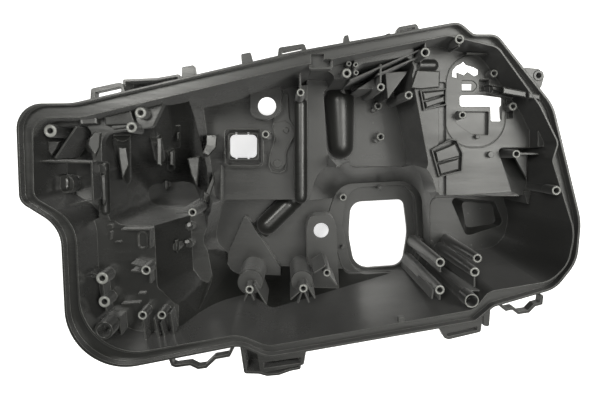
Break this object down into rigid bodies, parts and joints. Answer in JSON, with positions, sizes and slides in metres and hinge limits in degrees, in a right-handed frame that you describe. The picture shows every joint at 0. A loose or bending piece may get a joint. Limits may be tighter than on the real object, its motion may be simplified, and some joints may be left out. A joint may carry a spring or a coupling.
{
  "type": "headlamp rear housing",
  "caption": "Black injection moulded rear housing of a car headlamp, open at the front, with a glue channel round the rim, screw bosses, ribs and lamp cut-outs.",
  "frame": {"origin": "centre of the bounding box at its lowest level, with the housing lying on its back", "axes": "+Z out of the open front along the mould draw, +X along the length toward the end with the oval insert, +Y up as seen from the open front"},
  "size_m": [0.563, 0.361, 0.197],
  "materials": {
    "moulded_plastic": "satin"
  },
  "bodies": {
    "root": {"housing": "moulded_plastic"}
  },
  "joints": []
}
